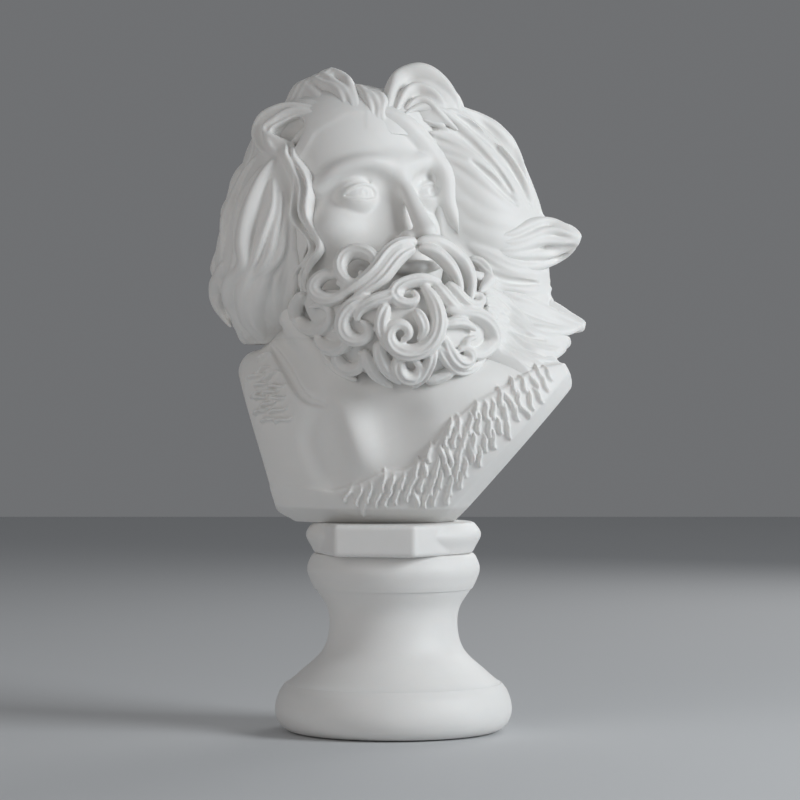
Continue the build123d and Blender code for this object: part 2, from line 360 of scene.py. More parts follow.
def front_point(guide, x, z):
    """The stone's surface where a viewer in front sees (x, z) on the bust's middle plane."""
    toward = unit(np.array([x, 0, z]) - VIEWER)
    return guide.cast(VIEWER + toward * SIGHT_FROM, toward, SIGHT_LENGTH)


def front_path(guide, points):
    """A smooth path on the stone, along a line given as (x, z) seen from the front."""
    line = curve([(x, 0, z) for x, z in points], 4)
    found = np.array([front_point(guide, p[0], p[2]) for p in line])
    for _ in range(6):
        found[1:-1, 1] = (found[:-2, 1] + 2 * found[1:-1, 1] + found[2:, 1]) / 4
    for _ in range(2):
        found[1:-1] = (found[:-2] + 2 * found[1:-1] + found[2:]) / 4
    return curve(found)


def steady(directions):
    """Evens out directions along a path."""
    for _ in range(6):
        directions[1:-1] = directions[:-2] + 2 * directions[1:-1] + directions[2:]
        directions = unit(directions)
    return directions


def lay_lock(clay, guide, path, width, height, strands, lift, blend=1.2, **shape):
    """Lays a lock, given by its half width and height, along a path on the stone's surface."""
    up = steady(guide.normal(path, 4))
    points, quads, ends = lock_mesh(path + up * lift, up, width, height, strands, **shape)
    clay.solid(points, quads, ends, blend)


def front_lock(clay, guide, points, width, height, strands, lift=0.0, blend=1.2, **shape):
    """Lays a lock along a line given as (x, z) seen from the front."""
    lay_lock(clay, guide, front_path(guide, points), width, height, strands, lift, blend, **shape)


def block_for(nodes, voxel, room=8):
    """Clay that holds CAD nodes, with room round them."""
    lows, highs = zip(*(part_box(n) for n in nodes))
    low = np.min([np.array(p) for p in lows], 0) / MM - room
    high = np.max([np.array(p) for p in highs], 0) / MM + room
    return Clay(low, high, voxel)


# ---------------------------------------------------------------- head

def turn_matrix(yaw, pitch, roll):
    return np.array(Matrix.Rotation(yaw, 3, "Z") @ Matrix.Rotation(-pitch, 3, "X")
                    @ Matrix.Rotation(roll, 3, "Y"))


HEAD_TURN = turn_matrix(HEAD_YAW, HEAD_PITCH, HEAD_ROLL)


def on_head(p):
    """A point of the head's own frame (face towards -Y) in the bust's frame."""
    return SKULL + HEAD_TURN @ np.array(p, float)


def to_head(x, y, z):
    """Coordinates in the bust's frame, in the head's own frame."""
    p = [x - SKULL[0], y - SKULL[1], z - SKULL[2]]
    return [HEAD_TURN[0, i] * p[0] + HEAD_TURN[1, i] * p[1] + HEAD_TURN[2, i] * p[2]
            for i in range(3)]


def head_lump(clay, at, radii, blend=6, hollow=False):
    clay.lump(on_head(at), radii, blend, HEAD_TURN, hollow)


def head_limb(clay, points, radii, blend=4, hollow=False):
    """A smooth limb through points of the head's own frame."""
    line = curve([on_head(p) for p in points], 3)
    radii = np.broadcast_to(np.array(radii, float), len(points))
    share = np.linspace(0, len(points) - 1, len(line))
    clay.limb(line, np.interp(share, np.arange(len(points)), radii), blend, hollow)


# The left eyeball's centre and radius, and the eyelids' half width, rise and drop.
EYE_AT = (31.0, -65.0, -6.0)
EYE_R = 14.0
LID_HALF, LID_RISE, LID_DROP = 14.5, 6.2, 4.4


def eye(clay, side):
    """An eyeball between two lids, with a lightly cut iris."""
    cx, cy, cz = side * EYE_AT[0], EYE_AT[1], EYE_AT[2]
    upper = (LID_HALF ** 2 + LID_RISE ** 2) / (2 * LID_RISE)
    lower = (LID_HALF ** 2 + LID_DROP ** 2) / (2 * LID_DROP)

    def lids(x, y, z):
        px, py, pz = to_head(x, y, z)
        px, py, pz = px - cx, py - cy, pz - cz
        ball = np.sqrt(px ** 2 + py ** 2 + pz ** 2) - (EYE_R + 2.2)
        over = np.sqrt(px ** 2 + (pz + upper - LID_RISE) ** 2) - upper
        under = np.sqrt(px ** 2 + (pz - lower + LID_DROP) ** 2) - lower
        return np.maximum(ball, -np.maximum(over, under))

    centre = on_head((cx, cy, cz))
    clay.shape(centre - 18, centre + 18, lids, 2.5)
    clay.lump(centre, [EYE_R] * 3, 0.4)
    crease = [(cx + side * a, cy - 13.4 + 0.045 * a * a, cz + LID_RISE + 3.6 - 0.021 * a * a)
              for a in (-12, -6, 0, 6, 12, 15)]
    head_limb(clay, crease, [0.3, 0.9, 1.1, 1.1, 0.8, 0.3], 2.0, hollow=True)
    gaze = unit(np.array([side * -0.03, -1.0, 0.04]))
    middle = np.array([cx, cy, cz])
    iris = [middle + EYE_R * unit(gaze + 0.40 * np.array([math.cos(a), 0, math.sin(a)]))
            for a in np.linspace(0, 2 * math.pi, 15)]
    head_limb(clay, iris, 0.55, 0.8, hollow=True)
    head_lump(clay, middle + (EYE_R + 0.4) * gaze, (2.4, 1.8, 2.4), 0.8, hollow=True)


def nose(clay):
    """The bridge, the tip and the two wings with their nostrils."""
    bridge = [(0, -81, 11), (0, -86, 0), (0, -94, -20), (0, -100, -36)]
    head_limb(clay, bridge, [5.6, 5.0, 6.0, 7.0], 8)
    head_lump(clay, (0, -103, -43), (8.0, 8.6, 7.2), 5)
    for side in (-1, 1):
        head_lump(clay, (side * 10.5, -91.5, -45), (5.6, 9.0, 6.2), 5)
        head_lump(clay, (side * 5.4, -97, -51.5), (2.8, 5.0, 2.4), 1.6, hollow=True)


def mouth(clay):
    """Two closed lips and the line between them."""
    for side in (-1, 1):
        head_lump(clay, (side * 8.0, -84, -65), (14, 7.5, 4.4), 4)
    head_lump(clay, (0, -85.5, -66.5), (6, 7, 4.6), 3)
    head_lump(clay, (0, -83, -77), (16, 8.0, 5.4), 4)
    head_limb(clay, [(-21, -83, -71.6), (-11, -90.5, -70.8), (0, -92.5, -71.6), (11, -90.5, -70.8),
                     (21, -83, -71.6)], 1.2, 2.0, hollow=True)


def skull(clay):
    """The head's large masses."""
    head_lump(clay, (0, -6, 20), (68, 81, 71))
    head_lump(clay, (0, -10, 44), (61, 73, 51), 8)
    head_lump(clay, (0, -22, -44), (57, 62, 62), 16)
    head_lump(clay, (0, -66, -96), (24, 20, 16), 14)
    for side in (-1, 1):
        head_lump(clay, (side * 43, -50, -27), (21, 22, 18), 14)
        head_lump(clay, (side * 78, -42, 24), (14, 30, 26), 14, hollow=True)


def face(clay):
    """The skull with its eye hollows, brows, eyes, nose and mouth."""
    skull(clay)
    for side in (-1, 1):
        head_lump(clay, (side * 31, -92, -6), (18, 17, 12.5), 12, hollow=True)
        head_lump(clay, (side * 14, -88, -5), (6, 8, 10), 9, hollow=True)
        head_limb(clay, [(side * 6, -84, 12), (side * 18, -85.5, 15.5), (side * 32, -80, 17),
                         (side * 46, -68, 14), (side * 55, -54, 6)], [4, 4.6, 4.6, 4.6, 4], 9)
    head_lump(clay, (0, -80, 13), (12, 8, 9), 10)
    for side in (-1, 1):
        eye(clay, side)
    nose(clay)
    mouth(clay)


# The neck's middle line from the skull down to the chest, and its radii.
NECK_LINE = [(-42, 30, 372), (-36, 28, 335), (-26, 20, 300), (-16, 14, 268), (-8, 12, 240)]
NECK_RADII = [50, 53, 57, 64, 72]


def neck(clay):
    """The neck, with its long muscles, the collarbones' ends and the throat."""
    clay.limb(NECK_LINE, NECK_RADII, 14)
    clay.limb([(-92, 24, 350), (-86, 14, 312), (-80, -14, 284), (-66, -36, 262), (-54, -52, 240)],
              [14, 13, 14, 12, 8], 12)
    clay.limb([(-92, 2, 360), (-76, -24, 318), (-48, -44, 278), (-22, -54, 246)], [10, 12, 11, 8], 12)
    clay.limb([(20, -24, 352), (14, -46, 300), (2, -58, 250)], [10, 11, 8], 12)
    clay.lump((-18, -44, 296), (13, 11, 14), 10)


# The part of the head that no hair covers, as (x, z) from the front. Outside it, and from some way
# behind the face on, the head is the casting's own mass, a little thinner.
FACE_WINDOW = [(-72, 300), (-68, 350), (-64, 372), (-72, 400), (-74, 430), (-62, 456), (-36, 472), (6, 474),
               (28, 460), (46, 430), (48, 400), (56, 372), (58, 300)]
# The soft edge of the hair at the viewer's right, as (x, z) from the front.
HAIRLINE = [(-10, 477), (0, 472), (10, 465), (19, 456), (27, 446), (33, 436), (39, 427), (41, 418), (41, 408),
            (44, 398), (49, 388), (54, 376), (55, 362)]
SCALP_DEEP = 0.8
SCALP_FROM_NEAR = -46.0
SCALP_FROM_FAR = -60.0
SCALP_BLEND = 8.0


def scalp(clay):
    """The head under the hair: the casting's own mass, outside the face."""
    under = clay.empty_copy()
    under.node("head", grow=-SCALP_DEEP, reach=8)
    comb(under)
    x, y, z = clay.everywhere()
    beside_face = -polygon_distance(x + 0 * z, z + 0 * x, FACE_WINDOW)
    across, along, _ = to_head(x, y, z)
    behind_face = np.where(across > 0, SCALP_FROM_FAR, SCALP_FROM_NEAR - 0.4 * across) - along
    bounds = np.minimum(beside_face + 0 * y, behind_face)
    clay.d = smooth_min(clay.d, np.maximum(under.d, bounds), SCALP_BLEND)


# The height of the joint in the neck. Below it the head laps inside the chest by a little, and above
# it the head's own shape fades in over a short height.
NECK_SEAM = 299.0
SEAM_LAP = 5.0
SEAM_INSET = 0.35
SEAM_FADE = 12.0


def head(body, guide, bowl, material):
    """The head casting: the face, the neck and the head's own mass under the hair."""
    clay = block_for(["head"], 0.9, 12)
    face(clay)
    scalp(clay)
    swell(clay, "head")
    front_lock(clay, guide, HAIRLINE, 7.0, 4.5, 1, blend=6)
    neck(clay)
    clay.lump(bowl, BOWL_RADII, 5, hollow=True)
    low = NECK_SEAM - SEAM_LAP
    window = clay.window((-200, -200, low - 2), (200, 200, NECK_SEAM + SEAM_FADE + 1))
    x, y, z = clay.places(window)
    own = np.clip((z - NECK_SEAM - 1) / SEAM_FADE, 0, 1)
    points = np.stack(np.broadcast_arrays(x, y, z), -1)
    clay.d[window] = body.sample(points) * (1 - own) + clay.d[window] * own
    clay.d[window] += SEAM_INSET * np.clip((NECK_SEAM + 1 - z) / 1.5, 0, 1)
    clay.soften(1)
    z = clay.everywhere()[2]
    clay.d = np.maximum(clay.d, low - z)
    clay.cast_piece("head_casting", "head", material)


# ---------------------------------------------------------------- chest

def polygon_distance(x, z, corners):
    """The signed distance from an outline in the x-z plane."""
    best = None
    inside = None
    for (ax, az), (bx, bz) in zip(corners, corners[1:] + corners[:1]):
        ex, ez = bx - ax, bz - az
        t = np.clip(((x - ax) * ex + (z - az) * ez) / (ex * ex + ez * ez), 0, 1)
        gap = np.sqrt((x - ax - t * ex) ** 2 + (z - az - t * ez) ** 2)
        crosses = ((az > z) != (bz > z)) & (x < ax + ex * (z - az) / (ez if ez else 1e-9))
        best = gap if best is None else np.minimum(best, gap)
        inside = crosses if inside is None else inside ^ crosses
    return np.where(inside, -best, best)


# The cloak's outer part, as (x, z) from the front, and the two areas of it that carry fur.
CLOAK = [(-130, 186), (-67, 187), (-45, 185), (-25, 191), (-10, 199), (8, 201), (24, 211), (38, 232),
         (62, 252), (86, 264), (104, 276), (150, 285), (150, 140), (-130, 140)]
FUR_RIGHT = [(-56, 168), (-46, 178), (-27, 189), (-10, 198), (8, 200), (24, 210), (38, 231), (62, 251),
             (86, 263), (96, 277), (122, 280), (127, 264), (103, 240), (80, 217), (56, 190), (42, 169)]
FUR_LEFT = [(-94, 291), (-107, 286), (-110, 272), (-101, 230), (-78, 236), (-84, 256), (-82, 268)]
CLOAK_BOX = ((-140, -160, 130), (160, 40, 300))
CLOAK_PROUD = 3.5
FUR_HALF_WIDTH = 1.8
FUR_HIGH = 3.4
FUR_LEFT_HIGH = 4.6
FUR_LEFT_LEAN = 1.15


def fur_lean(x):
    """How far a tuft leans from upright, in radians: out along the hem, down over the shoulder."""
    return np.interp(x, (-50, -20, 30, 70, 125), (0.55, 0.1, 0.0, -0.15, -0.7))


def fur_strokes(clay, outline, spacing, lean, lengths, height, seed):
    """Short wavy tufts over a patch, in staggered rows."""
    rng = np.random.default_rng(seed)
    bed = clay.copy()
    xs, zs = zip(*outline)
    for r, z in enumerate(np.arange(min(zs) - 8, max(zs) + 8, spacing[1])):
        for x in np.arange(min(xs) + (r % 2) * spacing[0] / 2, max(xs), spacing[0]):
            x0, z0 = x + rng.uniform(-1.2, 1.2), z + rng.uniform(-2.5, 2.5)
            length = rng.uniform(*lengths)
            bend = length * rng.uniform(0.09, 0.14) * rng.choice([-1, 1], p=[0.15, 0.85])
            tilt = lean(x0) + rng.uniform(-0.14, 0.14)
            dx, dz = math.sin(tilt), math.cos(tilt)
            line = [(x0 + dx * length * a + dz * bend * math.sin(2 * math.pi * a),
                     z0 + dz * length * a - dx * bend * math.sin(2 * math.pi * a))
                    for a in np.linspace(-0.5, 0.5, 5)]
            inner = np.array(line[1:-1])
            if polygon_distance(inner[:, 0], inner[:, 1], outline).max() < 0:
                front_lock(clay, bed, line, FUR_HALF_WIDTH, height, 1, lift=0.4, blend=0.7, root=0.3,
                           tip=0.2)


# The cut sides of the bust: a line in the x-z plane, and its bevel's width and depth.
BEVEL_BOX = ((-200, -200, 100), (200, 200, 300))
BEVELS = [((43, 156), (135, 262), 10.0, 16.0), ((-90, 160), (60, 160), 11.5, 22.0)]


def bevel(clay, a, b, width, depth):
    """Bevels the front edge along a cut side that runs from a to b, with the stone on its left."""
    along = unit(np.array(b, float) - np.array(a, float))
    window = clay.window(*BEVEL_BOX)
    x, y, z = clay.places(window)
    d = clay.d[window]
    first_inside = (d < 0).argmax(1)[:, None]
    front = y[0, first_inside[:, 0], 0][:, None] + np.take_along_axis(d, first_inside, 1)
    outside = (x - a[0]) * along[1] - (z - a[1]) * along[0]
    slope = ((outside + width) * depth - (y - front) * width) / math.hypot(width, depth)
    clay.d[window] = -smooth_min(-d, -np.maximum(slope, outside), 0.5)


def front_limb(clay, points, radius, rise, blend, hollow):
    """A limb with tapered ends, its middle at a height above a line seen from the front."""
    path = front_path(clay, points)
    out = clay.normal(path, 4)
    taper = np.sqrt(np.clip(np.sin(np.linspace(0.02, 0.98, len(path)) * math.pi), 0.05, 1))
    clay.limb((path + out * rise)[::2], (radius * taper)[::2], blend, hollow)


def crease(clay, points, radius, depth, blend):
    """A groove along a line seen from the front."""
    front_limb(clay, points, radius, radius - depth, blend, hollow=True)


def welt(clay, points, radius, height, blend):
    """A soft raised ridge along a line seen from the front."""
    front_limb(clay, points, radius, height - radius, blend, hollow=False)


# Between these heights the chest's rounding grows from slight to full.
SHARP_BELOW = 250.0
SOFT_ABOVE = 268.0


def torso():
    """The chest and the root of the neck, before the fur is cut."""
    clay = block_for(["chest"], 1.1, 14)
    clay.node("chest", reach=16)
    sharp = clay.copy()
    sharp.round_edges(2.5)
    clay.round_edges(12)
    z = clay.everywhere()[2]
    share = np.clip((z - SHARP_BELOW) / (SOFT_ABOVE - SHARP_BELOW), 0, 1)
    clay.d = (1 - share) * sharp.d + share * clay.d
    clay.soften(1)
    body = clay.d.copy()
    neck(clay)
    skull(clay)
    welt(clay, [(-42, 254), (-34, 238), (-26, 222), (-20, 206)], 14, 4.0, 14)
    welt(clay, [(-14, 262), (14, 262), (46, 266), (78, 272)], 16, 3.0, 14)
    crease(clay, [(-58, 248), (-55, 235), (-52, 218), (-48, 200), (-44, 190)], 16, 5.0, 14)
    crease(clay, [(-8, 246), (2, 228), (8, 214)], 26, 1.6, 20)
    crease(clay, [(-94, 295), (-88, 286), (-79, 271), (-72, 258), (-62, 251), (-53, 249)], 3.6, 4.4, 3)
    window = clay.window(*CLOAK_BOX)
    x, y, z = clay.places(window)
    outline = polygon_distance(x + 0 * z, z + 0 * x, CLOAK)
    proud = CLOAK_PROUD * np.clip((x + 84) / 30, 0, 1) * np.clip((26 - y) / 40, 0, 1)
    clay.join(window, np.maximum(body[window] - proud, outline + 0 * y), 2.5)
    for edge in BEVELS:
        bevel(clay, *edge)
    clay.soften(1)
    return clay


def chest(clay, material):
    """The chest casting: fur tufts on the cloak, cut off level at the neck."""
    fur_strokes(clay, FUR_RIGHT, (7.4, 10.5), fur_lean, (15, 20), FUR_HIGH, 5)
    fur_strokes(clay, FUR_LEFT, (11, 5.4), lambda x: FUR_LEFT_LEAN, (11, 16), FUR_LEFT_HIGH, 6)
    z = clay.everywhere()[2]
    clay.d = np.maximum(clay.d, z - NECK_SEAM)
    clay.cast_piece("chest_casting", "chest", material)


def plinth(material):
    """The plinth casting, its tablet and moulding rubbed soft."""
    clay = block_for(["bust_plinth"], 0.9, 6)
    clay.node("bust_plinth", reach=8)
    clay.round_edges(2.2)
    clay.soften(1)
    clay.cast_piece("plinth_casting", "bust_plinth", material)


# ---------------------------------------------------------------- hair

HAIR_NODES = ["hair_left", "hair_right", "hair_back", "hair_crown", "crown_lock_left",
              "crown_lock_right", "flying_lock_upper", "flying_lock_lower"]

# Locks are (line, half width, height, strands); fans are (first line, last line, count, half width,
# height, strands). Every line is (x, z) seen from the front, from root to tip.
LEFT_FANS = [
    ([(-104, 440), (-114, 425), (-121, 406), (-126, 388), (-129, 368), (-134, 352)],
     [(-100, 432), (-109, 416), (-116, 396), (-119, 378), (-121, 362), (-126, 348)], 2, 5, 7, 2),
    ([(-92, 424), (-92, 406), (-96, 388), (-101, 370), (-108, 354), (-118, 342)],
     [(-82, 404), (-82, 388), (-86, 372), (-92, 358), (-99, 348), (-108, 338)], 3, 5, 7.5, 1),
    ([(-130, 358), (-136, 342), (-133, 325), (-124, 308)],
     [(-94, 352), (-104, 336), (-106, 318), (-100, 300)], 4, 8, 5.5, 1),
    ([(-84, 418), (-82, 396), (-78, 380), (-78, 362), (-86, 344), (-90, 326), (-86, 308)],
     [(-76, 372), (-74, 356), (-78, 340), (-80, 324), (-77, 308)], 3, 6, 5, 2),
    ([(-48, 472), (-62, 476), (-78, 477), (-93, 472), (-102, 463), (-105, 452), (-101, 442), (-93, 437)],
     [(-46, 468), (-62, 471), (-77, 472), (-89, 467), (-96, 459), (-98, 451), (-94, 444), (-86, 440)],
     2, 4.2, 6, 1),
    ([(-50, 471), (-70, 473), (-86, 471), (-97, 463), (-100, 453), (-94, 445), (-84, 439), (-76, 432),
      (-72, 422), (-74, 409), (-76, 399), (-72, 388), (-65, 379), (-60, 370), (-63, 361), (-71, 352),
      (-78, 343), (-78, 333), (-71, 325)],
     [(-48, 467), (-68, 469), (-84, 467), (-92, 460), (-95, 452), (-88, 443), (-77, 439), (-68, 433),
      (-64, 422), (-66, 409), (-67, 399), (-63, 389), (-56, 380), (-53, 371), (-56, 361), (-64, 353),
      (-71, 344), (-71, 335), (-66, 326)], 3, 2.9, 8.5, 1),
]
# The hollow inside the curl at the viewer's upper left.
LEFT_BOWL = (-80, 456)
BOWL_RADII = (16, 9, 15)
LEFT_LOCKS = [
    ([(-90, 438), (-99, 424), (-107, 404), (-112, 386), (-114, 370), (-113, 358), (-119, 349), (-130, 341)],
     7.5, 9, 1),
    ([(-42, 462), (-51, 464), (-61, 461), (-70, 453), (-78, 445), (-88, 440)], 4.5, 6, 2),
    ([(-104, 336), (-108, 322), (-104, 308), (-97, 299)], 5, 6, 1),
]

RIGHT_FANS = [
    ([(40, 482), (58, 471), (74, 463), (88, 451), (98, 433), (107, 412), (114, 396)],
     [(6, 470), (26, 478), (44, 468), (66, 450), (88, 434), (102, 410), (110, 395)], 4, 4.5, 4.5, 1),
    ([(20, 468), (40, 462), (60, 450), (80, 434), (96, 414), (106, 396)],
     [(34, 440), (50, 434), (68, 422), (86, 406), (100, 394)], 4, 5.5, 3.5, 1),
    ([(44, 428), (60, 416), (78, 403), (96, 394), (112, 391)],
     [(52, 388), (68, 380), (84, 374), (100, 372), (112, 374)], 3, 9, 2.4, 1),
    ([(56, 372), (70, 364), (88, 356), (106, 352), (118, 350)],
     [(60, 350), (74, 342), (90, 340), (108, 338), (122, 338)], 3, 7, 5, 2),
    ([(66, 338), (82, 326), (98, 312), (114, 302), (136, 300)],
     [(74, 314), (88, 302), (102, 293), (118, 288), (132, 291)], 4, 7.5, 7, 2),
    ([(64, 320), (76, 305), (92, 292), (108, 284), (124, 282)],
     [(64, 300), (76, 288), (90, 279), (106, 273), (119, 271)], 3, 7.5, 6, 2),
]
RIGHT_LOCKS = [
    ([(40, 476), (54, 466), (68, 452), (82, 440), (94, 426), (103, 411), (111, 396)], 4.0, 8, 1),
    ([(54, 474), (68, 464), (80, 454), (90, 442), (98, 427), (105, 411)], 4.0, 9, 1),
    ([(64, 440), (76, 432), (86, 422), (93, 411)], 3.0, 4, 1),
]

# Grooves that part the long waves at the viewer's right.
CREASES = {"hair_right": [
    [(24, 472), (40, 465), (55, 454), (70, 440), (82, 426), (91, 412)],
    [(46, 473), (61, 462), (76, 449), (89, 434), (98, 418), (105, 402)],
    [(60, 436), (74, 424), (86, 412), (96, 402)],
    [(70, 352), (84, 345), (98, 343), (112, 342)],
    [(74, 326), (86, 312), (100, 303), (116, 299)],
]}

CROWN_FANS = [
    ([(-38, 491), (-29, 490), (-21, 486), (-17, 478), (-17, 467)],
     [(-20, 488), (-13, 486), (-9, 480), (-8, 467)], 3, 4.4, 5.5, 1),
]
CROWN_LOCKS = [
    ([(-82, 480), (-68, 479), (-53, 475), (-42, 470), (-37, 462)], 5, 5, 2),
]

TUFT_LEFT_FANS = [
    ([(-50, 506), (-42, 500), (-34, 492), (-28, 482), (-27, 466)],
     [(-62, 500), (-52, 493), (-43, 486), (-37, 477), (-36, 464)], 3, 5.5, 7, 1),
    ([(-70, 497), (-64, 489), (-56, 483), (-48, 477), (-43, 468)],
     [(-78, 482), (-70, 480), (-60, 478), (-51, 474), (-44, 466)], 2, 6.5, 4, 1),
]

TUFT_RIGHT_LOCKS = [
    ([(-5, 474), (-2, 488), (8, 500), (21, 504), (35, 497), (46, 484), (52, 470)], 7.5, 9, 1),
    ([(1, 472), (5, 482), (13, 490), (23, 491), (33, 485), (39, 476), (44, 466)], 4.6, 7, 1),
    ([(8, 474), (17, 482), (25, 481), (33, 474), (42, 465), (52, 457)], 3.6, 6, 1),
]

UPPER_FANS = [
    ([(78, 378), (92, 380), (106, 388), (119, 391), (130, 387), (138, 382), (143, 376)],
     [(76, 360), (92, 356), (108, 356), (122, 358), (134, 364), (142, 373)], 5, 4.6, 5, 1),
]

LOWER_FANS = [
    ([(66, 344), (84, 334), (100, 329), (114, 324), (128, 318), (139, 312), (146, 310)],
     [(70, 322), (86, 314), (102, 308), (118, 304), (132, 303), (141, 306), (146, 309)], 5, 5.0, 5, 1),
]


FAN_POINTS = 9
FAN_SWAY = 1.4


def even_line(points):
    """A smooth line through (x, z) points, as evenly spaced points."""
    line = curve([(x, 0, z) for x, z in points], 2)[:, [0, 2]]
    along = np.concatenate([[0], np.cumsum(np.linalg.norm(np.diff(line, axis=0), axis=1))])
    at = np.linspace(0, along[-1], FAN_POINTS)
    return np.stack([np.interp(at, along, line[:, i]) for i in range(2)], 1)


def fan_lines(first, last, count):
    """Lines spread evenly from one line to another, each with a slight wave of its own."""
    a, b = even_line(first), even_line(last)
    t = np.linspace(0, 1, len(a))
    for i in range(count):
        share = i / max(count - 1, 1)
        line = a * (1 - share) + b * share
        along = unit(np.gradient(line, axis=0))
        wave = FAN_SWAY * np.sin(2.4 * math.pi * t + 2.1 * i) * np.sin(math.pi * t)
        yield line + np.stack([-along[:, 1], along[:, 0]], 1) * wave[:, None]


# How deep the locks are bedded in the castings' own surface.
LOCK_BED = 1.8
# Bodies of hair that the castings only sketch: points along each, and radii.
SWELLS = {
    "crown_lock_left": [([(-66, -2, 484), (-50, -4, 491)], [13, 12])],
    "crown_lock_right": [([(4, -24, 468), (30, -20, 470)], [12, 13]),
                         ([(12, 2, 480), (32, 6, 476)], [14, 16])],
    "hair_crown": [([(-38, -14, 476), (-14, -14, 474)], [14, 13])],
    "head": [([(4, -26, 467), (15, -23, 459), (24, -20, 450), (31, -19, 440), (36, -20, 430),
               (39, -21, 418), (40, -22, 404), (44, -20, 390)], [8] * 8)],
    "hair_left": [([(-56, -28, 466), (-72, -22, 469), (-88, -18, 467), (-95, -16, 458), (-95, -18, 448),
                    (-88, -26, 441)], [7, 9, 9.5, 9.5, 9.5, 9])],
    "hair_right": [([(80, -28, 292), (106, -14, 297), (131, 2, 297)], [15, 14, 7]),
                   ([(84, -36, 284), (112, -24, 278)], [9, 8])],
}


# Where the combed locks fall from, how many go round the head, how deep they are cut, and the lowest.
COMB_CENTRE = (-30, 20, 380)
COMB_LOCKS = 40
COMB_DEEP = 4.0
COMB_LOWEST = 286


def comb(clay):
    """Cuts wavy locks, falling from the crown, into the sides and back of the hair."""
    window = clay.window((-200, COMB_CENTRE[1] - 50, COMB_LOWEST), (200, 200, 520))
    x, y, z = clay.places(window)
    x, y, z = x - COMB_CENTRE[0], y - COMB_CENTRE[1], z - COMB_CENTRE[2]
    turn = np.arctan2(y, x) + 0 * z
    fall = np.arctan2(z, np.hypot(x, y))
    wave = turn + 0.11 * np.sin(4.6 * fall + 2.3 * turn) + 0.035 * np.sin(11 * fall - 4 * turn)
    lock = wave * COMB_LOCKS / 2 + 0.5 * np.sin(7 * turn)
    valley = 1 - np.abs(np.sin(lock)) ** 0.7
    strand = 1 - np.abs(np.sin(3 * lock + 1.2 * fall)) ** 0.8
    uneven = 0.75 + 0.25 * np.sin(6 * fall + 5 * turn)
    share = np.clip((y - 0.3 * x + 45) / 40, 0, 1) * np.clip((z + 92) / 10, 0, 1)
    clay.d[window] += COMB_DEEP * share * (valley * uneven + 0.28 * strand)


def swell(clay, node, inset=0.0, blend=10):
    """Adds the bodies of hair of one casting."""
    for points, radii in SWELLS.get(node, []):
        clay.limb(points, np.array(radii) - inset, blend)


# The upper right of the hair slopes: a point on the slope, its outward direction and its left end.
SLOPE_AT = (50, 474)
SLOPE_OUT = (0.62, 0.785)
SLOPE_FROM = 56


def slope_right(mass):
    """Trims the upper right of the hair to its slope."""
    def beyond(x, y, z):
        out = (x - SLOPE_AT[0]) * SLOPE_OUT[0] + (z - SLOPE_AT[1]) * SLOPE_OUT[1]
        return np.maximum(-out, SLOPE_FROM - x) + 0 * y

    mass.shape((SLOPE_FROM, -120, 420), (150, 120, 520), beyond, 6, hollow=True)


def hair_mass():
    """The upper bust as one rounded mass, its hair a little inside the castings, to lay locks on."""
    nodes = ["chest", "head", "beard"] + HAIR_NODES
    mass = block_for(nodes, 1.1, 14)
    for node in nodes:
        mass.node(node, blend=4, reach=12)
        swell(mass, node)
    mass.round_edges(-7)
    mass.round_edges(5)
    mass.soften(2)
    mass.d += LOCK_BED
    for node in ("head", "chest"):
        mass.node(node)
    slope_right(mass)
    comb(mass)
    rim = front_point(mass, *LEFT_BOWL)
    bowl = rim - 2 * mass.normal(rim)
    mass.lump(bowl, BOWL_RADII, 5, hollow=True)
    return mass, bowl


# The space for locks round a casting, how far a casting may pass its CAD node, and a lock's slim root.
LOCK_ROOM = 32
OVERLAP = 1.5
SLIM_ROOT = 0.08


def hair_piece(node, mass, fans, locks, overlap, material):
    """One hair casting: its share of the mass, with its own locks laid on it."""
    low, high = [np.array(p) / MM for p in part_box(node)]
    clay = mass.part(low - LOCK_ROOM, high + LOCK_ROOM)
    guide = mass
    share = clay.empty_copy()
    share.node(node, grow=overlap, reach=overlap + 3)
    if node in BUNDLES:
        guide = clay.copy()
        guide.solid(*bundle(node), 2.0)
    clay.d = np.maximum(clay.d, share.d)
    if node in BUNDLES:
        clay.solid(*bundle(node), 2.0)
    swell(clay, node, LOCK_BED, 8)
    for flow in FLOWS.get(node, []):
        flow_locks(clay, mass, *flow)
    for first, last, count, width, height, strands in fans:
        for line in fan_lines(first, last, count):
            front_lock(clay, guide, line, width, height, strands, root=SLIM_ROOT, grow_in=0.4)
    for points, width, height, strands in locks:
        front_lock(clay, guide, points, width, height, strands, root=SLIM_ROOT, grow_in=0.35)
    for line in CREASES.get(node, []):
        crease(clay, line, 2.8, 3.6, 2.5)
    clay.soften(1)
    clay.cast_piece(node + "_casting", node, material)


# Long locks at the sides and back: how many, the first and last azimuth, the top and low elevation,
# half width, seed, and how far they drift sideways, in degrees.
FLOWS = {
    "hair_back": [(6, (30, 150), (44, 0), 8, 11, 14), (8, (25, 160), (-8, -50), 9, 12, -12)],
    "hair_left": [(4, (135, 185), (26, -12), 8, 14, 10), (5, (135, 182), (-4, -42), 9, 15, -8)],
    "hair_right": [(3, (20, 60), (40, -5), 8, 16, 8), (4, (24, 60), (-4, -42), 9, 17, -8)],
    "hair_crown": [(5, (20, 165), (80, 50), 6, 18, 10)],
}
# Where they fall from, and a distance beyond all the hair.
FLOW_CENTRE = np.array([-30.0, 20.0, 390.0])
FLOW_REACH = 190.0


def around(guide, azimuth, elevation):
    """The stone's surface in a direction from the middle; azimuth 0 is +X, and 90 is +Y."""
    a, e = math.radians(azimuth), math.radians(elevation)
    out = np.array([math.cos(a) * math.cos(e), math.sin(a) * math.cos(e), math.sin(e)])
    return guide.cast(FLOW_CENTRE + out * FLOW_REACH, -out, FLOW_REACH)


